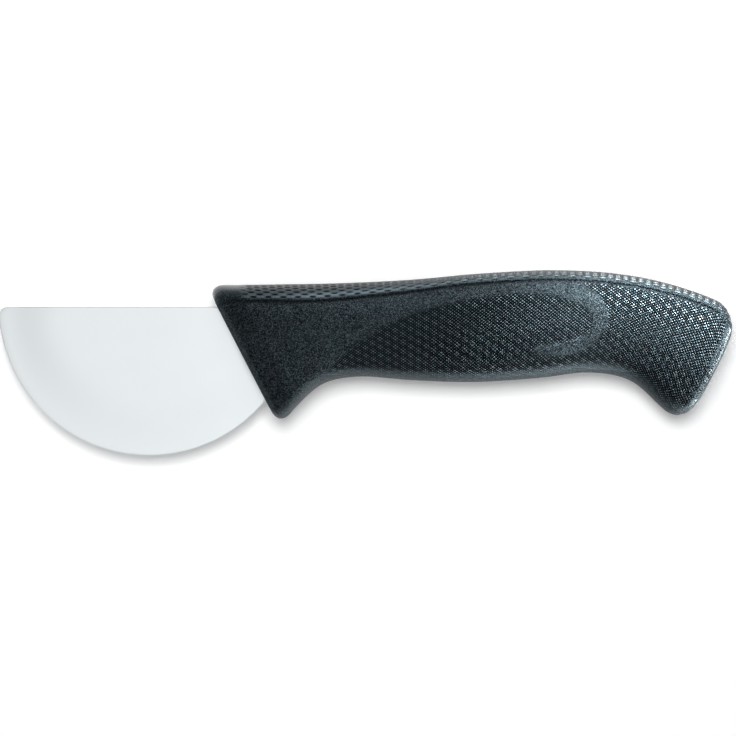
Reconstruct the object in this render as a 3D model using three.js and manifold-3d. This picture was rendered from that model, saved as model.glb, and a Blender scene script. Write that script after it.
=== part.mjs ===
// Farinata knife: a half-disc steel blade whose tang is moulded into a one-piece grip.
// Millimetres. The knife lies on its side: +X from the blade to the butt, +Y to the back, +Z up.
// Shapes are drawn from the middle of the blade's disc, with the spine on the X axis.
import * as THREE from 'three';
import { mergeVertices } from 'three/addons/utils/BufferGeometryUtils.js';
import Module from 'manifold-3d';

const wasm = await Module();
wasm.setup();

// Blade
const BLADE_RADIUS = 40;
const BLADE_HEIGHT = 39.4;      // from the spine to the lowest point of the edge
const BLADE_THICKNESS = 1.6;
const TIP_RADIUS = 2.2;         // rounded corner between the spine and the edge
const BEVEL_WIDTH = 0.8;        // sharpened band along the edge, on both sides
const EDGE_THICKNESS = 0.2;
const DISC_STEPS = 160;

// Tang, inside the grip
const TANG_LENGTH = 93.6;       // from the front face to the end of the tang, along the spine
const TANG_OVERLAP = 10;        // how far the tang's root runs into the disc
const TANG_ROOT_HEIGHT = 15;
const TANG_END_HEIGHT = 9;
const TANG_END_DROP = 1.8;      // the top edge falls this much towards the end
const HOLE_DIAMETER = 6;
const HOLE_COUNT = 3;
const HOLE_PITCH = 19;
const LAST_HOLE_INSET = 12;     // from the end of the tang to the last hole's middle

// Grip
const MOULD_CLEARANCE = 0.3;    // gap between the steel and the plastic
const FRONT_SETBACK = 18.4;     // from the middle of the disc to the front face, along the spine
const FRONT_SLANT = 62.7;       // degrees between the front face and the spine
const NOSE_RISE = 5.9;          // height of the back above the spine, at the front
const GUARD_OVERHANG = 8.2;     // how far the guard's corner stands past the edge of the blade
const GUARD_DEPTH = 7.7;        // straight stretch behind the front face
const GUARD_TAPER = 3.2;        // how much shorter the guard is at the end of that stretch
const FRONT_WIDTH = 15;
const GRIP_WIDTH = 19;
const FINGER_WIDTH = 18;        // waist behind the guard
const REAR_WIDTH = 18.4;        // waist ahead of the butt
const FRONT_ROUNDING = 4.2;     // corners of the front face, seen from the side
const FRONT_EDGE = 1.8;         // radius where the sides turn into the front face
const BUTT_ROUNDING = 7;
const BUTT_EDGE = 2.4;
const STRIP_HEIGHT_FRONT = 4.6; // strip along the back, seen from the side
const STRIP_HEIGHT_REAR = 2.4;
const STRIP_INSET_FRONT = 0.5;  // how far the strip's side lies inside the flat of the grip
const STRIP_INSET_REAR = 1.6;
const CREASE_WIDTH = 1.2;
const CREASE_DEPTH = 0.45;
const SHOULDER_HEIGHT = 9;      // from the back down to the flat of the side
const BELLY_HEIGHT_FRONT = 3.2; // from the flat of the side down to the belly, at the guard
const BELLY_HEIGHT_REAR = 7.5;  // the same, under the fingers
const STEPS_PER_STATION = 5;

// Side view of the grip behind the guard. Each step runs along the spine from the station before it.
// Heights are measured from the spine.
const NECK = { backStep: 14, backRise: 6.1, bellyStep: 6.3, bellyDrop: 20.4 };
const FIRST_FINGER = { backStep: 14, backRise: 6.4, bellyStep: 8.5, bellyDrop: 18.6 };
const LONG_FINGER = { backStep: 18, backRise: 7.3, bellyStep: 15, bellyDrop: 19.5 };
const PALM = { backStep: 18, backRise: 8.9, bellyStep: 16, bellyDrop: 20 };
const HEEL = { backStep: 18.5, backRise: 9.8, bellyStep: 17, bellyDrop: 19 };
const LITTLE_FINGER = { backStep: 16, backRise: 9.1, bellyStep: 14.8, bellyDrop: 17.5 };
const REAR = { backStep: 13.5, backRise: 6.8, bellyStep: 10.2, bellyDrop: 19.6 };
const BEAK = { backStep: 14.6, backRise: 1.9, bellyStep: 8.7, bellyDrop: 27 };
const BUTT = { backStep: 6.8, backRise: -2.3, bellyStep: 5.6, bellyDrop: 31.8 };

const radians = THREE.MathUtils.degToRad;
const spineDrop = BLADE_RADIUS - BLADE_HEIGHT;

// Point a distance down the front face from the spine, and a distance into the grip from there.
function frontPoint(down, inward) {
  const slant = radians(FRONT_SLANT);
  const x = down * Math.cos(slant) + inward * Math.sin(slant);
  const y = inward * Math.cos(slant) - down * Math.sin(slant);
  return [x, y];
}

// Distance down the front face at which the cutting edge enters the grip.
function edgeEntry() {
  const slant = radians(FRONT_SLANT);
  const half = FRONT_SETBACK * Math.cos(slant) + spineDrop * Math.sin(slant);
  const rest = FRONT_SETBACK ** 2 + spineDrop ** 2 - BLADE_RADIUS ** 2;
  return Math.sqrt(half ** 2 - rest) - half;
}

// Stations of the grip, front to butt, drawn from the point where the spine enters it.
// Each joins a point of the back to a point of the belly.
const noseDown = -NOSE_RISE / Math.sin(radians(FRONT_SLANT));
const guardDown = edgeEntry() + GUARD_OVERHANG;
const guardBack = GUARD_DEPTH / Math.sin(radians(FRONT_SLANT));
const STATIONS = [
  { back: frontPoint(noseDown, 0), belly: frontPoint(guardDown, 0), width: FRONT_WIDTH },
  {
    back: [frontPoint(noseDown, 0)[0] + guardBack, NOSE_RISE],
    belly: frontPoint(guardDown - GUARD_TAPER, GUARD_DEPTH),
    width: GRIP_WIDTH,
  },
];
const guardPlace = STATIONS.length - 1;

// Adds a station behind the last one and gives back its place in the list.
function addStation(shape, width) {
  const { back, belly } = STATIONS.at(-1);
  STATIONS.push({
    back: [back[0] + shape.backStep, shape.backRise],
    belly: [belly[0] + shape.bellyStep, -shape.bellyDrop],
    width,
  });
  return STATIONS.length - 1;
}

const neckPlace = addStation(NECK, GRIP_WIDTH);
const fingerPlace = addStation(FIRST_FINGER, FINGER_WIDTH);
addStation(LONG_FINGER, FINGER_WIDTH);
const palmPlace = addStation(PALM, GRIP_WIDTH);
addStation(HEEL, GRIP_WIDTH);
addStation(LITTLE_FINGER, REAR_WIDTH);
addStation(REAR, REAR_WIDTH);
addStation(BEAK, REAR_WIDTH);
addStation(BUTT, REAR_WIDTH);

const SPANS = STATIONS.length - 1;
const curveThrough = (points) => new THREE.CatmullRomCurve3(points.map(([x, y]) => new THREE.Vector3(x, y)));
const backLine = curveThrough(STATIONS.map((station) => station.back));
const bellyLine = curveThrough(STATIONS.map((station) => station.belly));

// Half width of the grip, eased from station to station so that equal widths give a true flat.
function halfWidth(place) {
  const span = Math.min(Math.floor(place), SPANS - 1);
  const ease = THREE.MathUtils.smoothstep(place - span, 0, 1);
  return THREE.MathUtils.lerp(STATIONS[span].width, STATIONS[span + 1].width, ease) / 2;
}

// Outline of one half of a section, from the back to the belly: distance along the section, then half width.
function sectionOutline(place, length) {
  const side = halfWidth(place);
  const slim = THREE.MathUtils.smoothstep(place, neckPlace, palmPlace);
  const strip = THREE.MathUtils.lerp(STRIP_HEIGHT_FRONT, STRIP_HEIGHT_REAR, slim);
  const stripSide = side - THREE.MathUtils.lerp(STRIP_INSET_FRONT, STRIP_INSET_REAR, slim);
  const crease = strip + CREASE_WIDTH / 2;
  const creaseSide = stripSide - CREASE_DEPTH;
  const deepen = THREE.MathUtils.smoothstep(place, guardPlace, fingerPlace);
  const belly = THREE.MathUtils.lerp(BELLY_HEIGHT_FRONT, BELLY_HEIGHT_REAR, deepen);
  const outline = [];
  for (const turn of [0, 0.25, 0.5, 0.75, 1]) {
    const angle = turn * Math.PI / 2;
    outline.push([strip * (1 - Math.cos(angle)), stripSide * Math.sin(angle)]);
  }
  for (const rise of [0, 0.2, 0.45, 0.7, 1]) {
    const lift = Math.sin(rise * Math.PI / 2);
    outline.push([
      THREE.MathUtils.lerp(crease, SHOULDER_HEIGHT, rise),
      THREE.MathUtils.lerp(creaseSide, side, lift),
    ]);
  }
  for (const turn of [0, 0.2, 0.4, 0.6, 0.8, 1]) {
    const angle = turn * Math.PI / 2;
    outline.push([length - belly * (1 - Math.sin(angle)), side * Math.cos(angle)]);
  }
  return outline;
}

// One closed ring of points round the grip. The insets draw the section in, to round the two ends.
function gripRing(place, inset, sideInset) {
  const back = backLine.getPoint(place / SPANS);
  const belly = bellyLine.getPoint(place / SPANS);
  const length = back.distanceTo(belly);
  const side = halfWidth(place);
  const near = [];
  for (const [along, out] of sectionOutline(place, length)) {
    const share = (inset + along * (length - 2 * inset) / length) / length;
    const point = back.clone().lerp(belly, share);
    near.push(point.setZ(out * (side - sideInset) / side));
  }
  const far = near.slice(1, -1).reverse();
  return [...near, ...far.map((point) => new THREE.Vector3(point.x, point.y, -point.z))];
}

// How far a rounded edge draws in, at a distance from the end that it rounds.
function drawnIn(distance, radius) {
  const short = Math.max(radius - distance, 0);
  return radius - Math.sqrt(radius ** 2 - short ** 2);
}

// Places along the grip with their two insets: rounded at the front, full between, rounded at the butt.
function gripRows() {
  const frontSpan = backLine.points[1].distanceTo(backLine.points[0]);
  const buttSpan = backLine.points[SPANS].distanceTo(backLine.points[SPANS - 1]);
  const frontReach = FRONT_ROUNDING / Math.sin(radians(FRONT_SLANT)) / frontSpan;
  const buttReach = BUTT_ROUNDING / buttSpan;
  const rows = [];
  for (const turn of [0, 0.25, 0.5, 0.75]) {
    const angle = turn * Math.PI / 2;
    const from = FRONT_ROUNDING * (1 - Math.cos(angle));
    const place = frontReach * (1 - Math.cos(angle));
    rows.push([place, drawnIn(from, FRONT_ROUNDING), drawnIn(from, FRONT_EDGE)]);
  }
  const first = frontReach;
  const last = SPANS - buttReach;
  const count = Math.round((last - first) * STEPS_PER_STATION);
  for (let i = 0; i <= count; i += 1) {
    rows.push([THREE.MathUtils.lerp(first, last, i / count), 0, 0]);
  }
  for (const turn of [0.2, 0.4, 0.6, 0.8, 1]) {
    const angle = turn * Math.PI / 2;
    const from = BUTT_ROUNDING * (1 - Math.sin(angle));
    const place = last + buttReach * Math.sin(angle);
    rows.push([place, drawnIn(from, BUTT_ROUNDING), drawnIn(from, BUTT_EDGE)]);
  }
  return rows;
}

// The whole outside of the grip: rings joined side to side, with a strip of quads closing each end.
function gripGeometry() {
  const rings = gripRows().map((row) => gripRing(...row));
  const size = rings[0].length;
  const index = [];
  const quad = (a, b, c, d) => index.push(a, b, c, a, c, d);
  for (let row = 0; row < rings.length - 1; row += 1) {
    for (let i = 0; i < size; i += 1) {
      const next = (i + 1) % size;
      quad(row * size + i, row * size + next, (row + 1) * size + next, (row + 1) * size + i);
    }
  }
  const end = (rings.length - 1) * size;
  for (let i = 0; i < size / 2; i += 1) {
    const mirror = (size - i) % size;
    const nextMirror = size - i - 1;
    quad(i, mirror, nextMirror, i + 1);
    quad(end + i, end + i + 1, end + nextMirror, end + mirror);
  }
  const geometry = new THREE.BufferGeometry();
  const points = rings.flat().flatMap((point) => point.toArray());
  geometry.setAttribute('position', new THREE.Float32BufferAttribute(points, 3));
  geometry.setIndex(index);
  geometry.translate(FRONT_SETBACK, 0, 0);
  return geometry;
}

// Half-plane below the spine with the rounded corner of the tip, wide enough to hold the disc.
function spineShape(grow) {
  const reach = BLADE_RADIUS + 10;
  const inner = BLADE_RADIUS - TIP_RADIUS;
  const middle = new THREE.Vector2(-Math.sqrt(inner ** 2 - (spineDrop + TIP_RADIUS) ** 2), -TIP_RADIUS);
  const toEdge = Math.PI + Math.atan2(spineDrop - middle.y, -middle.x);
  const radius = TIP_RADIUS + grow;
  const onEdge = new THREE.Vector2(radius, 0).rotateAround(new THREE.Vector2(), toEdge).add(middle);
  const shape = new THREE.Shape();
  shape.moveTo(reach, grow);
  shape.lineTo(middle.x, grow);
  shape.absarc(middle.x, middle.y, radius, Math.PI / 2, toEdge, false);
  shape.lineTo(onEdge.x - reach * Math.sin(toEdge), onEdge.y + reach * Math.cos(toEdge));
  shape.lineTo(reach, onEdge.y + reach * Math.cos(toEdge));
  return shape;
}

// Bar of the tang, tapering to a round end, with its locking holes.
function tangShape(grow) {
  const root = BLADE_RADIUS - TANG_OVERLAP;
  const end = FRONT_SETBACK + TANG_LENGTH;
  const endRadius = TANG_END_HEIGHT / 2;
  const endMiddle = new THREE.Vector2(end - endRadius, -TANG_END_DROP - endRadius);
  const shape = new THREE.Shape();
  shape.moveTo(root, grow);
  shape.lineTo(root, -TANG_ROOT_HEIGHT - grow);
  shape.absarc(endMiddle.x, endMiddle.y, endRadius + grow, -Math.PI / 2, Math.PI / 2, false);
  for (let i = 0; i < HOLE_COUNT; i += 1) {
    const x = end - LAST_HOLE_INSET - i * HOLE_PITCH;
    const share = (x - root) / (endMiddle.x - root);
    const y = THREE.MathUtils.lerp(-TANG_ROOT_HEIGHT / 2, endMiddle.y, share);
    const hole = new THREE.Path();
    hole.absarc(x, y, HOLE_DIAMETER / 2 - grow, 0, 2 * Math.PI, true);
    shape.holes.push(hole);
  }
  return shape;
}

// Disc with a bevelled rim, lying in the XY plane.
function discGeometry(grow) {
  const flat = BLADE_THICKNESS / 2 + grow;
  const rim = EDGE_THICKNESS / 2 + grow;
  const outer = BLADE_RADIUS + grow;
  const inner = BLADE_RADIUS - BEVEL_WIDTH;
  const profile = [[0, -flat], [inner, -flat], [outer, -rim], [outer, rim], [inner, flat], [0, flat]];
  const geometry = new THREE.LatheGeometry(profile.map(([r, h]) => new THREE.Vector2(r, h)), DISC_STEPS);
  geometry.rotateX(Math.PI / 2);
  geometry.translate(0, spineDrop, 0);
  return geometry;
}

// Flat plate of a shape, as thick as the blade, centred on the XY plane.
function plateGeometry(shape, grow) {
  const depth = BLADE_THICKNESS + 2 * grow;
  const geometry = new THREE.ExtrudeGeometry(shape, { depth, bevelEnabled: false, curveSegments: 24 });
  geometry.translate(0, 0, -depth / 2);
  return geometry;
}

// Closed solid for boolean work, from any closed geometry.
function solid(geometry) {
  geometry.deleteAttribute('normal');
  geometry.deleteAttribute('uv');
  const welded = mergeVertices(geometry, 1e-5);
  const corners = Array.from(welded.index.array);
  const triangles = [];
  for (let i = 0; i < corners.length; i += 3) {
    const [a, b, c] = corners.slice(i, i + 3);
    if (a !== b && b !== c && c !== a) triangles.push(a, b, c);
  }
  return new wasm.Manifold(new wasm.Mesh({
    numProp: 3,
    vertProperties: new Float32Array(welded.attributes.position.array),
    triVerts: new Uint32Array(triangles),
  }));
}

// Blade and tang as one steel blank, grown all round where it is used to cut the grip.
function steelBlank(grow) {
  const disc = solid(discGeometry(grow));
  const below = solid(plateGeometry(spineShape(grow), grow));
  const tang = solid(plateGeometry(tangShape(grow), grow));
  return disc.intersect(below).add(tang);
}

// Named mesh from a finished solid.
function meshOf(body, name, finish) {
  const data = body.getMesh();
  const geometry = new THREE.BufferGeometry();
  geometry.setAttribute('position', new THREE.Float32BufferAttribute(data.vertProperties, 3));
  geometry.setIndex(Array.from(data.triVerts));
  geometry.computeVertexNormals();
  const mesh = new THREE.Mesh(geometry, new THREE.MeshStandardMaterial(finish));
  mesh.name = name;
  return mesh;
}

const knife = new THREE.Group();
const steel = { color: 0xe2e7e9, roughness: 0.3, metalness: 1 };
const plastic = { color: 0x1b2124, roughness: 0.55, metalness: 0 };
knife.add(meshOf(steelBlank(0), 'blade', steel));
knife.add(meshOf(solid(gripGeometry()).subtract(steelBlank(MOULD_CLEARANCE)), 'handle', plastic));

// The origin is the middle of the footprint, on the surface that the knife lies on.
const box = new THREE.Box3().setFromObject(knife);
const middle = box.getCenter(new THREE.Vector3());
knife.position.set(-middle.x, -middle.y, -box.min.z);

export default knife;
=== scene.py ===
# Farinata knife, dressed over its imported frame, in metres.
# +X runs from the blade to the butt, +Y to the back of the knife and +Z up.
import math

import bpy
import numpy as np
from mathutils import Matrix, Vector


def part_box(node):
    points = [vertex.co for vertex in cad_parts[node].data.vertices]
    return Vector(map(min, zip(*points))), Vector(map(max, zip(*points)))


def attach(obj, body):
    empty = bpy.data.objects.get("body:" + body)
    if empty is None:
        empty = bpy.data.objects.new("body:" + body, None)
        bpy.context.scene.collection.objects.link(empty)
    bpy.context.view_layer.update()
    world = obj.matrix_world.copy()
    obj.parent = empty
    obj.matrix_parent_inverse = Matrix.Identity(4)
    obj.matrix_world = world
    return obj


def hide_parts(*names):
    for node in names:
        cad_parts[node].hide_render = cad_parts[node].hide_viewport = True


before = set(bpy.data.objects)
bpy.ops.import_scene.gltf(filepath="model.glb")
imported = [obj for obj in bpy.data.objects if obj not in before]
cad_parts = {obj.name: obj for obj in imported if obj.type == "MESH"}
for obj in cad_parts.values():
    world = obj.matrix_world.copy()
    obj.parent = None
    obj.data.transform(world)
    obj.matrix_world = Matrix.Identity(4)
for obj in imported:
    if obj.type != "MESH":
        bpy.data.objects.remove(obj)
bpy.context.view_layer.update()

# Blade
# One stamping of stainless sheet: a half disc with a straight spine, ground thinner towards its
# round edge. The edge is sharpened on both sides and the spine is eased. The tang runs back into
# the grip, which is moulded round it.
BLADE_RADIUS = 0.040
SPINE_DROP = 0.0006            # the spine lies this far below the middle of the disc
TIP_RADIUS = 0.0022
HALF_THICKNESS = 0.0008
GRIND_DEPTH = 0.00064          # taken off each side where the grind meets the sharpened band
GRIND_START = 0.024            # from the middle of the disc
GRIND_FADE = (0.034, 0.044)    # behind the middle of the disc, inside the grip: the grind runs out
SHARPENED_WIDTH = 0.00028
SHARPENED_EDGE = 0.00013       # half thickness left at the cutting edge
EASED_WIDTH = 0.00018          # rounding of the spine's two edges
TANG_REACH = 0.112             # from the middle of the disc to the end of the tang
TANG_ROOT = (0.030, -0.015)
TANG_END_DROP = 0.0018
TANG_END_RADIUS = 0.0045
FAN_MIDDLE = (0.030, -0.007)   # inside the grip, in sight of the whole outline
SPINE_POINTS = 90              # how many points each stretch of the outline has
CORNER_POINTS = 14
EDGE_POINTS = 320
TANG_SIDE_POINTS = 40
TANG_END_POINTS = 18
SHARPENED_FROM = 4             # point of the tip corner where the sharpening starts
FAN_ROWS = 43                  # rows from the fan's middle to the rim, and over the rim
RIM_ROWS = 6
SHARP_ANGLE = math.radians(12)  # edges that turn by more than this stay sharp
WELD_DIGITS = 8                # decimals of a metre in which points that coincide agree
STEEL_DARK = (0.80, 0.85, 0.865, 1)
STEEL_PALE = (0.89, 0.925, 0.935, 1)
STEEL_CLOUD = (0.018, 0.012, 0.012)
STEEL_CLOUD_TONE = 0.6         # how much the clouds change the tone, and where the tone starts
STEEL_LEAST_TONE = 0.12
STEEL_ROUGHNESS = 0.278
STEEL_TONE_ROUGHNESS = 0.05    # added where the tone is full
CLOUD_DETAIL = 2.0
MIX_SHARE, MIX_FIRST, MIX_SECOND, MIX_RESULT = 0, 6, 7, 2   # sockets of a Mix node for colours

blade_low, blade_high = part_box("blade")
disc_x = blade_high.x - TANG_REACH
spine_y = blade_high.y
middle_z = (blade_low.z + blade_high.z) / 2


def ease(low, high, values):
    """Smooth step from 0 below low to 1 above high: 3t squared less 2t cubed of the share t."""
    share = np.clip((values - low) / (high - low), 0, 1)
    return share * share * (3 - 2 * share)


def arc(middle, radius, start, end, count):
    """Points on a circle about middle, from the start angle to the end angle, one in each row."""
    angle = np.linspace(start, end, count)[:, None]
    return np.array(middle) + radius * np.hstack([np.cos(angle), np.sin(angle)])


def line(start, end, count):
    """Evenly spaced points on a straight line, without its two ends."""
    share = np.linspace(0, 1, count + 2)[1:-1, None]
    return np.array(start) * (1 - share) + np.array(end) * share


def blade_outline():
    """Spine, tip corner, cutting edge and tang as one closed loop, and a weight of 1 on the edge.

    The tip corner's circle touches the spine and, from inside, the disc. The edge runs along the
    disc until it crosses the straight lower side of the tang: there a quadratic gives the share of
    that side.
    """
    disc = np.array([0, SPINE_DROP])
    inner = BLADE_RADIUS - TIP_RADIUS
    tip = np.array([-math.sqrt(inner ** 2 - (SPINE_DROP + TIP_RADIUS) ** 2), -TIP_RADIUS])
    to_tip = math.pi + math.atan2(SPINE_DROP + TIP_RADIUS, -tip[0])
    tang_end = np.array([TANG_REACH - TANG_END_RADIUS, -TANG_END_DROP - TANG_END_RADIUS])
    root = np.array(TANG_ROOT)
    under = tang_end - [0, TANG_END_RADIUS]
    along = under - root
    from_disc = root - disc
    half = along @ from_disc
    rest = from_disc @ from_disc - BLADE_RADIUS ** 2
    share = (math.sqrt(half ** 2 - along @ along * rest) - half) / (along @ along)
    entry = root + share * along
    to_entry = 2 * math.pi + math.atan2(entry[1] - disc[1], entry[0] - disc[0])
    over = tang_end + [0, TANG_END_RADIUS]
    spine = line([TANG_ROOT[0], 0], [tip[0], 0], SPINE_POINTS)
    corner = arc(tip, TIP_RADIUS, math.pi / 2, to_tip, CORNER_POINTS)
    edge = arc(disc, BLADE_RADIUS, to_tip, to_entry, EDGE_POINTS)[1:]
    tang = np.vstack([
        line(entry, under, TANG_SIDE_POINTS),
        arc(tang_end, TANG_END_RADIUS, -math.pi / 2, math.pi / 2, TANG_END_POINTS),
        line(over, [TANG_ROOT[0], 0], TANG_SIDE_POINTS),
    ])
    loop = np.vstack([spine, corner, edge, tang])
    weight = np.concatenate([
        np.zeros(len(spine)), ease(SHARPENED_FROM, CORNER_POINTS, np.arange(CORNER_POINTS)),
        np.ones(len(edge)), np.zeros(len(tang)),
    ])
    return loop, weight


def blade_surface():
    """Grid of the upper side: each column runs from the fan's middle to the outline, over the rim.

    Across the flat the height is half the sheet less the grind, which eases in with the distance
    from the middle of the disc. On the sharpened band it falls straight to the edge; on the spine
    the rim is a quarter of a circle. The weight blends the two rims.
    """
    loop, weight = blade_outline()
    heading = np.roll(loop, -1, 0) - np.roll(loop, 1, 0)
    heading /= np.linalg.norm(heading, axis=1, keepdims=True)
    inward = np.stack([-heading[:, 1], heading[:, 0]], 1)
    turn = np.linspace(0, math.pi / 2, RIM_ROWS)
    band = weight * SHARPENED_WIDTH + (1 - weight) * EASED_WIDTH
    rim_in = weight * np.linspace(1, 0, RIM_ROWS)[:, None] * SHARPENED_WIDTH
    rim_in = rim_in + (1 - weight) * EASED_WIDTH * (1 - np.sin(turn))[:, None]
    inner_loop = loop + inward * band[:, None]
    fan = np.linspace(0, 1, FAN_ROWS + 1)[:-1, None, None]
    flat = np.array(FAN_MIDDLE) * (1 - fan) + inner_loop * fan
    rim = loop + inward * rim_in[:, :, None]
    side = np.concatenate([flat, rim])
    from_middle = np.hypot(side[:, :, 0], side[:, :, 1] - SPINE_DROP)
    ahead = 1 - ease(*GRIND_FADE, side[:, :, 0])
    height = HALF_THICKNESS - GRIND_DEPTH * ahead * ease(GRIND_START, BLADE_RADIUS, from_middle)
    corner = height[len(flat)]
    sharpened = corner + (SHARPENED_EDGE - corner) * np.linspace(0, 1, RIM_ROWS)[:, None]
    eased = corner - EASED_WIDTH * (1 - np.cos(turn))[:, None]
    height[len(flat):] = weight * sharpened + (1 - weight) * eased
    return side, height


def ring_squares(rows, ring):
    """Corner numbers, in turn, of every square between neighbouring rows of closed rings."""
    grid = np.arange(rows * ring).reshape(rows, ring)
    a, d = grid[:-1], grid[1:]
    return a, np.roll(a, -1, 1), np.roll(d, -1, 1), d


def welded(points, faces):
    """Points that coincide become one, and the faces that this folds flat are left out.

    The last result is the number that each point which stays had before.
    """
    _, first, place = np.unique(
        np.round(points, WELD_DIGITS), axis=0, return_index=True, return_inverse=True,
    )
    faces = place.reshape(-1)[faces]
    whole = (faces != np.roll(faces, 1, 1)).all(1)
    return points[first], faces[whole], first


def piece_from(name, points, faces, finish):
    """New mesh object at the origin, made of triangles, with its material."""
    mesh = bpy.data.meshes.new(name)
    mesh.from_pydata(points.tolist(), [], faces.tolist())
    mesh.materials.append(finish)
    piece = bpy.data.objects.new(name, mesh)
    bpy.context.scene.collection.objects.link(piece)
    return piece


class Wire:
    """One output of a node tree. Arithmetic on it adds Math nodes, and make adds any other node."""

    def __init__(self, tree, socket=None):
        self.tree = tree
        self.socket = socket

    def make(self, kind, settings, inputs, output=0):
        """Adds a node of a kind: its settings first, then values or links for its input sockets."""
        node = self.tree.nodes.new(kind)
        for name, value in settings.items():
            setattr(node, name, value)
        for name, value in inputs.items():
            if isinstance(value, Wire):
                self.tree.links.new(value.socket, node.inputs[name])
            else:
                node.inputs[name].default_value = value
        return Wire(self.tree, node.outputs[output] if node.outputs else None)

    def maths(self, operation, first, second):
        return self.make("ShaderNodeMath", {"operation": operation}, {0: first, 1: second})

    def __add__(self, other):
        return self.maths("ADD", self, other)

    def __radd__(self, other):
        return self.maths("ADD", other, self)

    def __sub__(self, other):
        return self.maths("SUBTRACT", self, other)

    def __rsub__(self, other):
        return self.maths("SUBTRACT", other, self)

    def __mul__(self, other):
        return self.maths("MULTIPLY", self, other)

    def __rmul__(self, other):
        return self.maths("MULTIPLY", other, self)

    def __pow__(self, other):
        return self.maths("POWER", self, other)


def new_finish(name):
    """Empty node material, and the wire that its nodes are added with."""
    finish = bpy.data.materials.new(name)
    finish.use_nodes = True
    finish.node_tree.nodes.clear()
    return finish, Wire(finish.node_tree)


def noise_on(start, size, detail):
    """Noise from 0 to 1 in the piece's own coordinates, with grains of this size on each axis."""
    place = start.make("ShaderNodeTexCoord", {}, {}, "Object")
    scale = tuple(1 / s for s in size)
    scaled = start.make("ShaderNodeMapping", {}, {"Vector": place, "Scale": scale})
    return start.make("ShaderNodeTexNoise", {}, {"Vector": scaled, "Scale": 1.0, "Detail": detail})


def colour_between(start, share, first, second):
    """Colour that goes from the first to the second as the share goes from 0 to 1."""
    return start.make(
        "ShaderNodeMix", {"data_type": "RGBA"},
        {MIX_SHARE: share, MIX_FIRST: first, MIX_SECOND: second}, MIX_RESULT,
    )


def satin_steel():
    """Finely ground steel: broad faint clouds in colour and roughness."""
    finish, start = new_finish("satin_steel")
    clouds = noise_on(start, STEEL_CLOUD, CLOUD_DETAIL)
    tone = clouds * STEEL_CLOUD_TONE + STEEL_LEAST_TONE
    shader = start.make("ShaderNodeBsdfPrincipled", {}, {
        "Base Color": colour_between(start, tone, STEEL_DARK, STEEL_PALE),
        "Metallic": 1.0,
        "Roughness": STEEL_ROUGHNESS + tone * STEEL_TONE_ROUGHNESS,
    })
    start.make("ShaderNodeOutputMaterial", {}, {"Surface": shader})
    return finish


def build_blade():
    """Upper and lower sides from one grid, joined along the edge and closed at the fan's middle."""
    side, height = blade_surface()
    rows, ring = height.shape
    x, y = side[:, :, 0] + disc_x, side[:, :, 1] + spine_y
    upper = np.dstack([x, y, middle_z + height])
    lower = np.dstack([x, y, middle_z - height])
    points = np.concatenate([upper, lower[::-1]]).reshape(-1, 3)
    a, b, c, d = ring_squares(2 * rows, ring)
    faces = np.concatenate([np.stack([a, d, c], 2), np.stack([a, c, b], 2)]).reshape(-1, 3)
    points, faces, _ = welded(points, faces)
    piece = piece_from("blade_steel", points, faces, satin_steel())
    piece.data.shade_smooth()
    piece.data.set_sharp_from_angle(angle=SHARP_ANGLE)
    return piece


blade = build_blade()
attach(blade, "root")
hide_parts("blade")

# Grip
# One injection moulding of black polypropylene round the tang, the same on both sides of the blade.
# The mould gives it a fine grain, small scales on the strip along the back, and a diamond knurl on
# the belly and on the two leaf-shaped fields, where the tips rise and fall in a weave.
FRONT_SETBACK = 0.0184         # from the middle of the disc to the front face, along the spine
FRONT_SLANT = math.radians(62.7)
NOSE_RISE = 0.0059
GUARD_LENGTH = 0.03586         # down the front face, from the spine to the guard's corner
GUARD_DEPTH = 0.0077
GUARD_TAPER = 0.0032
FRONT_WIDTH = 0.015
GUARD_WIDTH = 0.019
STATION_SIZES = 0.001 * np.array([
    # step along the back, rise of the back, step along the belly, drop of the belly, width
    [14.0, 6.1, 6.3, 20.4, 19.0],     # neck of the guard
    [14.0, 6.4, 8.5, 18.6, 18.0],     # first finger
    [18.0, 7.3, 15.0, 19.5, 18.0],    # long finger
    [18.0, 8.9, 16.0, 20.0, 19.0],    # palm
    [18.5, 9.8, 17.0, 19.0, 19.0],    # heel of the hand
    [16.0, 9.1, 14.8, 17.5, 18.4],    # little finger
    [13.5, 6.8, 10.2, 19.6, 18.4],    # rear
    [14.6, 1.9, 8.7, 27.0, 18.4],     # beak
    [6.8, -2.3, 5.6, 31.8, 18.4],     # butt
])
GUARD_PLACE = 1                # places along the stations
NECK_PLACE = 2
FINGER_PLACE = 3
PALM_PLACE = 5
REAR_PLACE = 8
RUN_POINTS = 4000              # for measuring the run of the middle line
END_ROWS = 8                   # rows on each rounded end
SECTION_POINTS = 80            # for each curve of a section, before it is cut into even steps
FRONT_CORNER = 0.0042          # corner radii of the two ends, seen from the side
BUTT_CORNER = 0.007
FRONT_EDGE = 0.0018            # rounding where the sides turn into the two end faces
BUTT_EDGE = 0.0024
STRIP_FRONT = 0.0046           # height of the strip along the back, at the neck and behind the palm
STRIP_REAR = 0.0024
STRIP_INSET_FRONT = 0.0005     # how far the strip's side lies inside the flat of the grip
STRIP_INSET_REAR = 0.0011
STRIP_STEPS = 36               # steps across the strip, and down its flank to the crease's foot
FLANK_STEPS = 2
CREASE_STEP = STRIP_STEPS + FLANK_STEPS
CREASE_RUN = 0.0008
CREASE_DEPTH = 0.0004
CREASE_START = (0.001, 0.005)  # from the butt: the crease falls to its depth
CREASE_GROOVE = 0.35           # extra groove in the crease, as a share of the scales' depth, which also paints a dark line of shade
GROOVE_START = (0.003, 0.010)  # from the butt: the groove falls to its depth, and its painted shade darkens with it
SHOULDER_FRONT = 0.0026        # from the crease to the full width, at the neck and behind the palm
SHOULDER_REAR = 0.0065
BELLY_FRONT = 0.0032           # from the flat of the side to the belly, at guard and fingers
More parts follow.
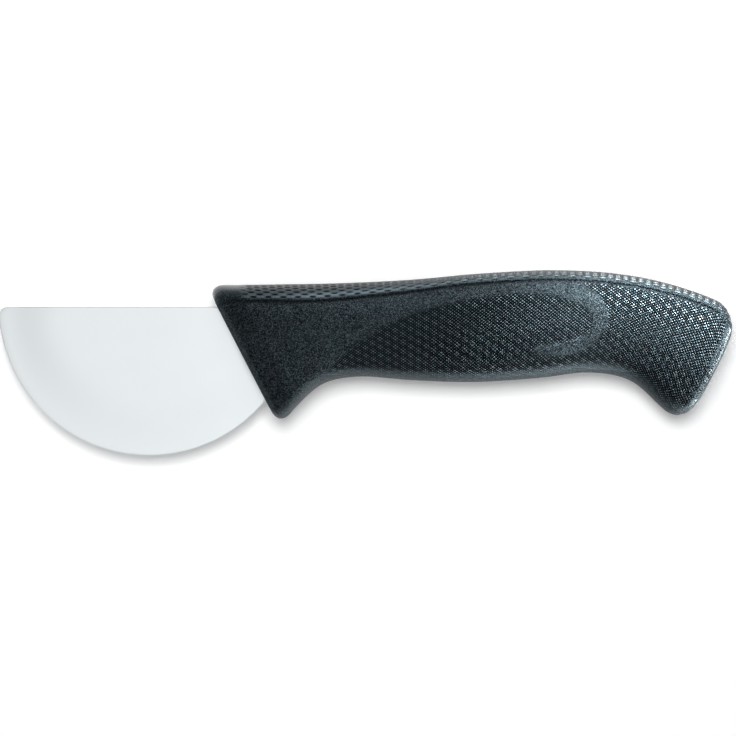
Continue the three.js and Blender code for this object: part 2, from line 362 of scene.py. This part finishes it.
BELLY_REAR = 0.0055
CROWN_FRONT = 0.10             # share of the width that the sides lose towards back and belly
CROWN_REAR = 0.38
KNURL_STEP = 0.000515          # half a diamond along the grip
SIDE_STEPS = 76                # half diamonds across one side
KNURL_DEPTH = 0.00024
KNURL_RUNOUT = 0.12            # share of that depth left at the parting line, to free the mould
RUNOUT_SLOPE = (0.35, 0.8)     # upward part of the normal: the depth rises from there to full
RUNOUT_POLISH = 0.6            # sheen for each share of the depth that has run out
PARTING_STEPS = 1              # steps on each side of the parting line that stay plain
LOW_TIP = 0.50                 # height of the lowest tips against the highest
WEAVE_ROWS = 8                 # the weave repeats after these rows along the grip and steps across
WEAVE_STEPS = 6
WEAVE_ALONG = 0.34             # parts of the weave along the grip and along its two diagonals
WEAVE_DIAGONAL = 0.42
WEAVE_COUNTER = 0.24
WEAVE_FLOOR = 0.5              # the tips are lowest where the weave is minus this or less
WEAVE_SPAN = 1.4               # and highest where it is this much above that
SCALE_LENGTH = 0.00205         # half a scale of the strip, along the back and in steps across it
SCALE_STEPS = 3
SCALE_DEPTH = 0.00042
SCALE_POWER = 1.2              # above 1, the tops are broader than the gaps
SCALE_START = (0.0235, 0.0275)  # from the middle of the disc: the scales rise behind the nose
SCALE_FADE = 3                 # steps in which the scales run out towards the crease
GRAIN_DEPTH = 0.00003          # of the smooth fields' fine pits
GRAIN_FLOOR = 0.3              # least depth of a pit against the deepest
GRAIN_SEED = 7
GRAIN_START = 0.0012           # at the two ends all pits have the least depth, and from here any
KNURL_EDGE = 0.0013            # the knurl rises over this distance outside the grained field
RIM = 0.0021                   # from the outline of the butt to the line inside it
RIM_DEPTH = 0.0002
RIM_WIDTH = 0.0004
RIM_STEPS = 8                  # steps above the crease in which the line rises
BUTT_PLAIN = (0.0009, 0.0016)  # from the butt: its rim is plain, and the knurl starts here
POLISH_EDGE = 0.0006           # the polish of the two rims ends over this distance
BUTT_POLISH = 0.8
FRONT_POLISH = 0.45
STRIP_POLISH = 0.5             # of the strip beside the crease, behind the next stretch; less polish paints more shade
STRIP_POLISH_START = (0.045, 0.100)  # from the middle of the disc: that polish rises
STRIP_POLISH_STEPS = 17        # steps from the crease to the full polish
END_RINGS = 6                  # rings that close each end
LEAST_LENGTH = 1e-12           # stands in for a normal of no length
SMOOTH_BELOW = 0.15            # faces with less knurl than this are shaded smooth
# Edge of the grained field, from the middle of the disc: up the front of the first leaf and round
# its rear end, then back along the outside of the crescent to the strip. The last four points close
# it outside the grip.
LEAF_EDGE = 0.001 * np.array([
    [41.5, -26.5], [44.5, -20.0], [48.0, -15.6], [56.3, -8.6], [68.5, -2.2], [83.6, 2.1],
    [98.5, 4.1], [110.0, 2.7], [117.2, -1.6], [117.4, -6.8], [110.5, -10.1], [102.5, -11.6],
])
CRESCENT_EDGE = 0.001 * np.array([
    [102.5, -11.6], [110.2, -12.2], [117.4, -9.0], [120.7, -3.5], [118.5, 2.4], [112.2, 6.6],
    [106.8, 9.5],
])
FIELD_CLOSING = [[0.1068, 0.03], [0, 0.03], [0, -0.045], [0.0415, -0.045]]
LEAF_POINTS = 140
CRESCENT_POINTS = 80


def curve_through(points, places):
    """Smooth curve through points: place 2.5 lies halfway between the third and the fourth.

    Centripetal Catmull-Rom: each span is a cubic whose end tangents come from the chords on both
    sides of the point, weighed by the square roots of their lengths.
    """
    ends = [2 * points[0] - points[1]], [2 * points[-1] - points[-2]]
    chain = np.vstack([ends[0], points, ends[1]])
    span = np.clip(np.floor(places).astype(int), 0, len(points) - 2)
    t = (places - span)[:, None]
    p0, p1, p2, p3 = (chain[span + k] for k in range(4))
    chords = (p0, p1), (p1, p2), (p2, p3)
    d0, d1, d2 = (np.sqrt(np.linalg.norm(b - a, axis=1))[:, None] for a, b in chords)
    start = ((p1 - p0) / d0 - (p2 - p0) / (d0 + d1) + (p2 - p1) / d1) * d1
    end = ((p2 - p1) / d1 - (p3 - p1) / (d1 + d2) + (p3 - p2) / d2) * d1
    square = 3 * (p2 - p1) - 2 * start - end
    cube = 2 * (p1 - p2) + start + end
    return p1 + t * (start + t * (square + t * cube))


def grip_stations():
    """Back points, belly points and widths of the stations, from the middle of the disc."""
    down = np.array([math.cos(FRONT_SLANT), -math.sin(FRONT_SLANT)])
    inward = np.array([math.sin(FRONT_SLANT), math.cos(FRONT_SLANT)])
    nose = -down * NOSE_RISE / math.sin(FRONT_SLANT)
    back = [nose, nose + [GUARD_DEPTH / math.sin(FRONT_SLANT), 0]]
    guard = down * (GUARD_LENGTH - GUARD_TAPER) + inward * GUARD_DEPTH
    belly = [down * GUARD_LENGTH, guard]
    back_x = back[1][0] + np.cumsum(STATION_SIZES[:, 0])
    belly_x = belly[1][0] + np.cumsum(STATION_SIZES[:, 2])
    back = np.vstack([back, np.stack([back_x, STATION_SIZES[:, 1]], 1)])
    belly = np.vstack([belly, np.stack([belly_x, -STATION_SIZES[:, 3]], 1)])
    width = np.concatenate([[FRONT_WIDTH, GUARD_WIDTH], STATION_SIZES[:, 4]])
    offset = [FRONT_SETBACK, 0]
    return back + offset, belly + offset, width


def grip_rows(back, belly):
    """Places of the rows and their distances from the two ends.

    The rows are a knurl step apart on the middle line between back and belly, and closer on the
    rounded ends.
    """
    fine = np.linspace(0, len(back) - 1, RUN_POINTS)
    middle = (curve_through(back, fine) + curve_through(belly, fine)) / 2
    run = np.concatenate([[0], np.cumsum(np.linalg.norm(np.diff(middle, axis=0), axis=1))])
    turn = np.linspace(0, math.pi / 2, END_ROWS)
    front = FRONT_EDGE * (1 - np.cos(turn))
    butt = run[-1] - BUTT_EDGE * (1 - np.cos(turn[::-1]))
    count = round((butt[0] - front[-1]) / KNURL_STEP)
    full = np.linspace(front[-1], butt[0], count + 1)
    distance = np.concatenate([front[:-1], full, butt[1:]])
    return np.interp(distance, run, fine), distance, run[-1] - distance


def even_steps(curve, count):
    """Points evenly spaced along each row of curve, where its running length has each share."""
    run = np.cumsum(np.linalg.norm(np.diff(curve, axis=1, prepend=curve[:, :1]), axis=2), 1)
    wanted = np.linspace(0, 1, count + 1) * run[:, -1:]
    after = (run[:, None, :] < wanted[:, :, None]).sum(2).clip(1, curve.shape[1] - 1)
    low, high = np.take_along_axis(run, after - 1, 1), np.take_along_axis(run, after, 1)
    share = ((wanted - low) / (high - low))[:, :, None]
    first = np.take_along_axis(curve, after[:, :, None] - 1, 1)
    last = np.take_along_axis(curve, after[:, :, None], 1)
    return first * (1 - share) + last * share


def half_sections(place, length, side, from_butt):
    """Half outline of every section, back to belly: distance down the section, then half width.

    The strip is a quarter ellipse, the crease falls below its side, the shoulder rises from there
    on a sine to the full width, and the belly is a quarter ellipse. The crown draws the width in by
    the square of the distance from the middle of the section.
    """
    place, length, side = place[:, None], length[:, None], side[:, None]
    slim = ease(NECK_PLACE, PALM_PLACE, place)
    strip = STRIP_FRONT + (STRIP_REAR - STRIP_FRONT) * slim
    belly = BELLY_FRONT + (BELLY_REAR - BELLY_FRONT) * ease(GUARD_PLACE, FINGER_PLACE, place)
    crease = CREASE_DEPTH * ease(*CREASE_START, from_butt[:, None])
    strip_side = side - STRIP_INSET_FRONT - (STRIP_INSET_REAR - STRIP_INSET_FRONT) * slim
    turn = np.linspace(0, math.pi / 2, SECTION_POINTS)
    share = np.linspace(0, 1, SECTION_POINTS)
    strip_curve = np.dstack([strip * (1 - np.cos(turn)), strip_side * np.sin(turn)])
    flank = np.linspace(0, 1, FLANK_STEPS + 1)
    flank_curve = np.dstack([strip + CREASE_RUN * flank, strip_side - crease * flank])
    foot, foot_side = strip + CREASE_RUN, strip_side - crease
    shoulder = SHOULDER_FRONT + (SHOULDER_REAR - SHOULDER_FRONT) * slim
    shoulder_side = foot_side + (side - foot_side) * np.sin(turn)
    shoulder_curve = np.dstack([foot + shoulder * share, shoulder_side])
    belly_curve = np.dstack([length - belly * (1 - np.sin(turn)), side * np.cos(turn)])
    side_curve = np.concatenate([shoulder_curve, belly_curve], 1)
    outline = np.concatenate([
        even_steps(strip_curve, STRIP_STEPS)[:, :-1], flank_curve[:, :-1],
        even_steps(side_curve, SIDE_STEPS),
    ], 1)
    off_middle = 2 * outline[:, :, 0] / length - 1
    crown = CROWN_FRONT + (CROWN_REAR - CROWN_FRONT) * ease(NECK_PLACE, REAR_PLACE, place)
    return outline[:, :, 0], outline[:, :, 1] * (1 - crown * off_middle ** 2)


def rounded(distance, radius):
    """How far a quarter circle of this radius draws in, at a distance from its end."""
    return radius - np.sqrt(radius ** 2 - (radius - np.minimum(distance, radius)) ** 2)


def field_depth(x, y, loop):
    """Distance from the nearest side of a closed loop, positive inside it by the crossing rule."""
    start, end = loop, np.roll(loop, -1, 0)
    run = end - start
    gap_x, gap_y = x[:, None] - start[:, 0], y[:, None] - start[:, 1]
    share = np.clip((gap_x * run[:, 0] + gap_y * run[:, 1]) / (run ** 2).sum(1), 0, 1)
    nearest = np.hypot(gap_x - share * run[:, 0], gap_y - share * run[:, 1]).min(1)
    spans = (start[:, 1] > y[:, None]) != (end[:, 1] > y[:, None])
    rise = np.where(run[:, 1] == 0, 1, run[:, 1])
    crossings = (spans & (gap_x < gap_y * run[:, 0] / rise)).sum(1)
    return np.where(crossings % 2 == 1, nearest, -nearest)


def grip_surface():
    """Half rings of the grip from the front to the butt, and their distances from the two ends.

    A half ring joins its back point to its belly point along the half section. Near the ends the
    corner radius draws it in along the section, and the edge rounding draws in its width.
    """
    back, belly, widths = grip_stations()
    place, from_front, from_butt = grip_rows(back, belly)
    span = np.clip(np.floor(place).astype(int), 0, len(widths) - 2)
    side = (widths[span] + (widths[span + 1] - widths[span]) * ease(0, 1, place - span)) / 2
    top, bottom = curve_through(back, place), curve_through(belly, place)
    length = np.linalg.norm(bottom - top, axis=1)
    down, out = half_sections(place, length, side, from_butt)
    corner = rounded(from_front, FRONT_CORNER) + rounded(from_butt, BUTT_CORNER)
    edge = rounded(from_front, FRONT_EDGE) + rounded(from_butt, BUTT_EDGE)
    drawn = corner[:, None] + down * (1 - 2 * corner / length)[:, None]
    share = (drawn / length[:, None])[:, :, None]
    near = top[:, None] * (1 - share) + bottom[:, None] * share
    out = out * ((side - edge) / side)[:, None]
    return np.dstack([near, out]), from_front, from_butt


def grip_fields(half, from_front, from_butt):
    """Shares of knurl, sheen and rim line at every point of the half rings.

    The knurl is 0 in the grained field and rises outside its edge. On the strip it stands for the
    scales, and in the crease for the groove, where the material paints a dark line of shade. The
    material paints shade between the tips and scales in step with the knurl. The sheen is the
    polish of the mould: on the strip it rises from the crease to the back, and the two rims have
    their own. Less sheen lets more painted shade in.
    """
    x, y = half[:, :, 0], half[:, :, 1]
    steps = np.arange(half.shape[1])
    from_front, from_butt = from_front[:, None], from_butt[:, None]
    leaf = curve_through(LEAF_EDGE, np.linspace(0, len(LEAF_EDGE) - 1, LEAF_POINTS))
    crescent_places = np.linspace(0, len(CRESCENT_EDGE) - 1, CRESCENT_POINTS)
    crescent = curve_through(CRESCENT_EDGE, crescent_places)
    loop = np.vstack([leaf, crescent[1:], FIELD_CLOSING])
    depth = field_depth(x.ravel(), y.ravel(), loop).reshape(x.shape)
    on_side = ease(0, KNURL_EDGE, -depth)
    on_strip = ease(*SCALE_START, x)
    scales = on_strip * ease(0, SCALE_FADE, STRIP_STEPS - steps)
    knurl = np.where(steps < CREASE_STEP, scales, on_side)
    # The groove sinks the crease, and the material paints a line of shade along it
    in_groove = (steps == CREASE_STEP) | (steps == CREASE_STEP - 1)
    knurl = np.where(in_groove, CREASE_GROOVE * on_strip * ease(*GROOVE_START, from_butt), knurl)
    knurl = knurl * (steps > PARTING_STEPS) * (steps < steps[-1] - PARTING_STEPS)
    rim_line = np.exp(-((from_butt - RIM) / RIM_WIDTH) ** 2)
    rim_line = rim_line * ease(CREASE_STEP - RIM_STEPS, CREASE_STEP, steps)
    knurl = knurl * (1 - rim_line) * ease(*BUTT_PLAIN, from_butt)
    butt_rim = BUTT_POLISH * (1 - ease(RIM - POLISH_EDGE, RIM, from_butt))
    front_rim = FRONT_POLISH * (1 - ease(FRONT_EDGE - POLISH_EDGE, FRONT_EDGE, from_front))
    # Less polish beside the crease and towards the front also means more painted shade there
    least = STRIP_POLISH * ease(*STRIP_POLISH_START, x)
    polish = least + (1 - least) * ease(0, STRIP_POLISH_STEPS, STRIP_STEPS - steps)
    sheen = np.where(steps < STRIP_STEPS, polish, 0)
    sheen = np.maximum(sheen, np.maximum(butt_rim, front_rim))
    return knurl, sheen, rim_line


def both_sides(values):
    """Values on the half rings carried on round the other side, to make whole rings."""
    return np.concatenate([values, values[:, -2:0:-1]], 1)


PLASTIC_DARK = (0.0015, 0.0022, 0.0029, 1)
PLASTIC_PALE = (0.050, 0.064, 0.073, 1)
TIP_HIGHLIGHT = 0.75                # painted highlight on the tips, and tones that the specks and the clouds add
TIP_POLISHED_HIGHLIGHT = 0.55       # taken off the tips' painted highlight where the sheen is full
SPECK_TONE = 0.85
SPECK_POWER = 2
CLOUD_TONE = 0.08
SPECK_SIZE = 0.00022
GRAIN_SIZE = (0.00030, 0.00030, 0.00030)
GRAIN_DETAIL = 1.0
CLOUD_SIZE = (0.015, 0.009, 0.009)
PAINTED_LIGHT_TIP = (0.24, 0.62)        # heights between which a tip goes from painted shade to its painted highlight
WORN_TIP = (0.5, 1.0)          # heights between which a tip is worn
WORN_HEIGHT = 0.4              # taken off the highest tips
BUMP_HEIGHT = 0.0003
SPECK_HEIGHT = 0.3
GRAIN_HEIGHT = 0.75            # of the grain, and what knurl and sheen take off it
GRAIN_KNURLED = 0.65
GRAIN_POLISHED = 0.75
GRIP_ROUGHNESS = 0.50          # of the grain, and what knurl and sheen take off it
ROUGHNESS_KNURLED = 0.12
ROUGHNESS_POLISHED = 0.22
GRIP_SPECULAR = 0.42
GRIP_SPECULAR_TINT = (0.62, 0.88, 1.0, 1)
GLOSS_SHEEN = (0.6, 1.0)       # sheens between which the thin gloss rises
GLOSS_WEIGHT = 0.45
GLOSS_ROUGHNESS = 0.28
PIT_ROUGHNESS = 0.9
PIT_SHADE = 0.95               # share of painted shade between the tips, and what sheen takes off it
PIT_POLISHED = 0.05
SPECK_LIGHT = 0.57             # share of painted shade that the palest specks lose


def moulded_plastic():
    """Black polypropylene: a fine spark grain of pale and dark specks, and a knurl whose tips carry
    a painted highlight.

    Shade is painted between the tips and the scales, in the crease and in the dark specks: a dull
    dark shader is mixed in there, so these places mirror little. Each tip is worn flat, which the
    bump gives by taking off what stands above its lower half. Where the sheen is high the mould was
    polished, the plastic is smoother with a thin gloss, and less shade is painted.
    """
    finish, start = new_finish("black_polypropylene")
    knurl, tip, sheen = (
        start.make("ShaderNodeAttribute", {"attribute_name": name}, {}, "Fac")
        for name in ("knurl", "tip", "sheen")
    )
    place = start.make("ShaderNodeTexCoord", {}, {}, "Object")
    cells = {"Vector": place, "Scale": 1 / SPECK_SIZE}
    specks = start.make("ShaderNodeTexVoronoi", {}, cells, "Color")
    speck = start.make("ShaderNodeSeparateColor", {}, {"Color": specks}, "Red")
    grain = noise_on(start, GRAIN_SIZE, GRAIN_DETAIL)
    clouds = noise_on(start, CLOUD_SIZE, CLOUD_DETAIL)
    # Share of a tip that gets the painted highlight; the rest lies in painted shade
    top = start.make("ShaderNodeMapRange", {}, {
        "Value": tip, "From Min": PAINTED_LIGHT_TIP[0], "From Max": PAINTED_LIGHT_TIP[1],
    })
    worn = start.make("ShaderNodeMapRange", {}, {
        "Value": tip, "From Min": WORN_TIP[0], "From Max": WORN_TIP[1], "To Max": WORN_HEIGHT,
    })
    gloss = start.make("ShaderNodeMapRange", {}, {
        "Value": sheen, "From Min": GLOSS_SHEEN[0], "From Max": GLOSS_SHEEN[1],
        "To Max": GLOSS_WEIGHT,
    })
    # Painted highlight: the higher tips of the knurl and the scales are paler, in place of the
    # glints they catch
    tip_highlight = top * knurl * (TIP_HIGHLIGHT - sheen * TIP_POLISHED_HIGHLIGHT)
    speck_tone = (speck ** SPECK_POWER) * (1 - knurl) * SPECK_TONE
    tone = tip_highlight + speck_tone + clouds * CLOUD_TONE
    relief = (GRAIN_HEIGHT - knurl * GRAIN_KNURLED) * (1 - sheen * GRAIN_POLISHED)
    height = (grain + speck * SPECK_HEIGHT) * relief - worn * knurl
    bump = start.make("ShaderNodeBump", {}, {
        "Strength": 1.0, "Distance": BUMP_HEIGHT, "Height": height,
    })
    smoother = knurl * (1 - sheen) * ROUGHNESS_KNURLED + sheen * ROUGHNESS_POLISHED
    body = start.make("ShaderNodeBsdfPrincipled", {}, {
        "Base Color": colour_between(start, tone, PLASTIC_DARK, PLASTIC_PALE),
        "Roughness": GRIP_ROUGHNESS - smoother,
        "Normal": bump,
        "Specular IOR Level": GRIP_SPECULAR,
        "Specular Tint": GRIP_SPECULAR_TINT,
        "Coat Weight": gloss,
        "Coat Roughness": GLOSS_ROUGHNESS,
    })
    # Painted shade: a dull dark shader, mixed in between the tips and scales, in the crease and in
    # the dark specks
    pit = start.make("ShaderNodeBsdfPrincipled", {}, {
        "Base Color": PLASTIC_DARK, "Roughness": PIT_ROUGHNESS, "Specular IOR Level": 0.0,
    })
    painted_shade_between_tips = knurl * (1 - top) * (PIT_SHADE - sheen * PIT_POLISHED)
    painted_shade_in_specks = (1 - knurl) * (1 - sheen) * (1 - speck * SPECK_LIGHT)
    shade = painted_shade_between_tips + painted_shade_in_specks
    shader = start.make("ShaderNodeMixShader", {}, {0: shade, 1: body, 2: pit})
    start.make("ShaderNodeOutputMaterial", {}, {"Surface": shader})
    return finish


def build_grip():
    """Closes both ends of the rings, cuts the knurl and makes the piece.

    Points of the grid are in turn the tip of a diamond and a low point between four tips. Low
    points are sunk along the surface's normal. Each square is split between its two low points,
    which leaves small pyramids. The heights of the tips follow the weave, a sum of three cosines
    that run along the grip and along both diagonals. The scales of the strip sink by a power of
    half of one less the product of two cosines, along the back and across the strip, so their rows
    are offset.
    """
    half, from_front, from_butt = grip_surface()
    knurl, sheen, rim_line = map(both_sides, grip_fields(half, from_front, from_butt))
    ring = both_sides(half)
    ring[:, half.shape[1]:, 2] *= -1
    lengthwise = np.gradient(ring, axis=0)
    across = (np.roll(ring, -1, 1) - np.roll(ring, 1, 1)) / 2
    normal = np.cross(across, lengthwise)
    normal /= np.maximum(np.linalg.norm(normal, axis=2, keepdims=True), LEAST_LENGTH)
    row, step = np.indices(knurl.shape)
    inside = np.minimum(ease(0, GRAIN_START, from_front), ease(0, GRAIN_START, from_butt))[:, None]
    chance = np.random.default_rng(GRAIN_SEED).random(knurl.shape)
    pits = GRAIN_FLOOR + (1 - GRAIN_FLOOR) * inside * chance
    step = np.minimum(step, ring.shape[1] - step)
    on_side = step > CREASE_STEP

    along, cross = 2 * math.pi * row / WEAVE_ROWS, 2 * math.pi * step / WEAVE_STEPS
    weave = WEAVE_ALONG * np.cos(2 * along)
    weave = weave + WEAVE_DIAGONAL * np.cos(along - cross) + WEAVE_COUNTER * np.cos(along + cross)
    tip = LOW_TIP + (1 - LOW_TIP) * np.clip((weave + WEAVE_FLOOR) / WEAVE_SPAN, 0, 1)
    diamond = 1 - tip * ((row + step) % 2 == 0)
    back_steps = np.diff(ring[:, 0], axis=0, prepend=ring[:1, 0])
    back_run = np.cumsum(np.linalg.norm(back_steps, axis=1))[:, None]
    scale = np.cos(math.pi * back_run / SCALE_LENGTH) * np.cos(math.pi * step / SCALE_STEPS)
    scale = ((1 - scale) / 2) ** SCALE_POWER
    low = np.where(on_side, diamond, np.where(step > STRIP_STEPS, 1, scale))
    upward = np.abs(normal[:, :, 2])
    draft = KNURL_RUNOUT + (1 - KNURL_RUNOUT) * ease(*RUNOUT_SLOPE, upward)
    knurl = knurl * np.where(on_side, draft, 1)
    sheen = np.where(on_side, np.maximum(sheen, RUNOUT_POLISH * (1 - draft)), sheen)
    sunk = np.where(on_side, KNURL_DEPTH, SCALE_DEPTH) * knurl * low
    sunk = sunk + GRAIN_DEPTH * (1 - knurl) * pits + RIM_DEPTH * rim_line
    surface = ring - normal * sunk[:, :, None]

    closing = np.linspace(0, 1, END_RINGS + 1)[:-1, None, None]
    flatten = np.concatenate([np.ones_like(closing), np.ones_like(closing), closing], 2)
    front = surface[:1] * flatten
    butt = surface[-1:] * flatten[::-1]
    rings = np.concatenate([front, surface, butt])
    points = rings.reshape(-1, 3) + [disc_x, spine_y, middle_z]
    ends = ((len(front), len(butt)), (0, 0))
    knurl, low, on_side, sheen = (np.pad(values, ends) for values in (knurl, low, on_side, sheen))
    a, b, c, d = ring_squares(*rings.shape[:2])
    row, step = np.indices(a.shape)
    split = ((row - len(front) + step) % 2 == 0)[:, :, None]
    first = np.where(split, np.stack([a, b, d], 2), np.stack([a, b, c], 2))
    last = np.where(split, np.stack([b, c, d], 2), np.stack([a, c, d], 2))
    faces = np.concatenate([first, last]).reshape(-1, 3)
    points, faces, kept = welded(points, faces)
    knurl, tip, sheen = knurl.ravel()[kept], 1 - low.ravel()[kept], sheen.ravel()[kept]
    piece = piece_from("grip_moulding", points, faces, moulded_plastic())
    for name, values in (("knurl", knurl), ("tip", tip), ("sheen", sheen)):
        layer = piece.data.attributes.new(name, "FLOAT", "POINT")
        layer.data.foreach_set("value", values.astype(np.float32))
    faceted = knurl * on_side.ravel()[kept]
    piece.data.polygons.foreach_set("use_smooth", faceted[faces].mean(1) < SMOOTH_BELOW)
    return piece


grip = build_grip()
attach(grip, "root")
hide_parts("handle")

# Stage
# Plain white table, broad soft light from above and from the back, and a camera straight over the
# knife. White cards with grids stand low round the grip, and show only as reflections in its dark
# plastic and in the steel.
FLOOR_SIZE = 3.0
FLOOR_WHITE = (0.9, 0.9, 0.9, 1)
FLOOR_GLOW = 0.21
ROOM_WHITE = (0.95, 0.98, 1.0, 1)
ROOM_RISE = (0.03, 0.45)       # upward part of a heading: the room's glow fades between these
ROOM_GLOW = (0.9, 0.02)        # low down and overhead
VIEW_MIDDLE = (0.00076, -0.00143)
VIEW_WIDTH = 0.19587           # of the whole picture, at the height of the blade
LENS = 135
SENSOR = 36
CARDS = (
    # name, place, aim, size, radiance, spread
    ("rear_card", (0.095, 0.042, 0.05), (0.079, 0.008, 0.015), (0.06, 0.05), 22, 60),
    ("back_card", (0.085, 0.12, 0.03), (0.065, 0.02, 0.012), (0.14, 0.06), 2.5, 60),
    ("shoulder_card", (0.035, 0.07, 0.075), (0.03, 0.008, 0.016), (0.10, 0.04), 3.7, 60),
    ("front_card", (0.09, -0.12, 0.025), (0.06, 0, 0.01), (0.18, 0.06), 3.3, 60),
    ("beak_card", (0.12, -0.10, 0.02), (0.075, -0.015, 0.01), (0.08, 0.04), 6, 60),
    ("butt_card", (0.19, 0, 0.03), (0.096, 0, 0.012), (0.10, 0.03), 8, 40),
    ("left_card", (-0.16, -0.01, 0.02), (-0.03, -0.005, 0.012), (0.12, 0.03), 4, 180),
)


def white_table():
    """Matt white: plain diffuse, with a little glow where it is seen or mirrored."""
    finish, start = new_finish("white_table")
    shader = start.make("ShaderNodeBsdfDiffuse", {}, {"Color": FLOOR_WHITE})
    seen, mirrored, through = (
        start.make("ShaderNodeLightPath", {}, {}, ray)
        for ray in ("Is Camera Ray", "Is Glossy Ray", "Is Transmission Ray")
    )
    strength = (seen + mirrored + through) * FLOOR_GLOW
    glow = start.make("ShaderNodeEmission", {}, {"Strength": strength})
    both = start.make("ShaderNodeAddShader", {}, {0: shader, 1: glow})
    start.make("ShaderNodeOutputMaterial", {}, {"Surface": both})
    return finish


def soft_light(name, place, aim, size, radiance, spread=180, matt=True, gloss=True):
    """Rectangular lamp facing its aim. Its power is the radiance times pi times its area.

    The spread is the angle that its grid lets out. One that is not matt only shows in reflections,
    as a card does. One that is not gloss is never mirrored.
    """
    lamp = bpy.data.lights.new(name, "AREA")
    lamp.shape = "RECTANGLE"
    lamp.size, lamp.size_y = size
    lamp.energy = radiance * math.pi * size[0] * size[1]
    lamp.spread = math.radians(spread)
    holder = bpy.data.objects.new(name, lamp)
    holder.location = place
    holder.rotation_euler = (holder.location - Vector(aim)).to_track_quat("Z", "Y").to_euler()
    holder.visible_camera = False
    holder.visible_diffuse = matt
    holder.visible_glossy = gloss
    bpy.context.scene.collection.objects.link(holder)


reach = FLOOR_SIZE / 2
corners = np.array([[-reach, -reach, 0], [reach, -reach, 0], [reach, reach, 0], [-reach, reach, 0]])
floor = piece_from("table", corners, np.array([[0, 1, 2], [0, 2, 3]]), white_table())

soft_light("overhead", (0, 0, 1.1), (0, 0, 0), (1.0, 1.0), 1.06)
soft_light("key", (-0.03, 0.24, 1.0), (0, 0, 0), (0.36, 0.36), 18, gloss=False)
for card in CARDS:
    soft_light(*card, matt=False)

world = bpy.data.worlds.new("studio")
world.use_nodes = True
world.node_tree.nodes.clear()
room = Wire(world.node_tree)
heading = room.make("ShaderNodeTexCoord", {}, {}, "Generated")
rise = room.make("ShaderNodeSeparateXYZ", {}, {"Vector": heading}, "Z")
wall = room.make("ShaderNodeMapRange", {"interpolation_type": "SMOOTHSTEP"}, {
    "Value": rise, "From Min": ROOM_RISE[0], "From Max": ROOM_RISE[1],
    "To Min": ROOM_GLOW[0], "To Max": ROOM_GLOW[1],
})
glow = room.make("ShaderNodeBackground", {}, {"Color": ROOM_WHITE, "Strength": wall})
room.make("ShaderNodeOutputWorld", {}, {"Surface": glow})
bpy.context.scene.world = world

camera = bpy.data.objects.new("camera", bpy.data.cameras.new("camera"))
camera.data.lens = LENS
camera.data.sensor_width = SENSOR
camera.location = (*VIEW_MIDDLE, middle_z + VIEW_WIDTH * LENS / SENSOR)
bpy.context.scene.collection.objects.link(camera)
bpy.context.scene.camera = camera
bpy.context.scene.view_settings.view_transform = "Standard"
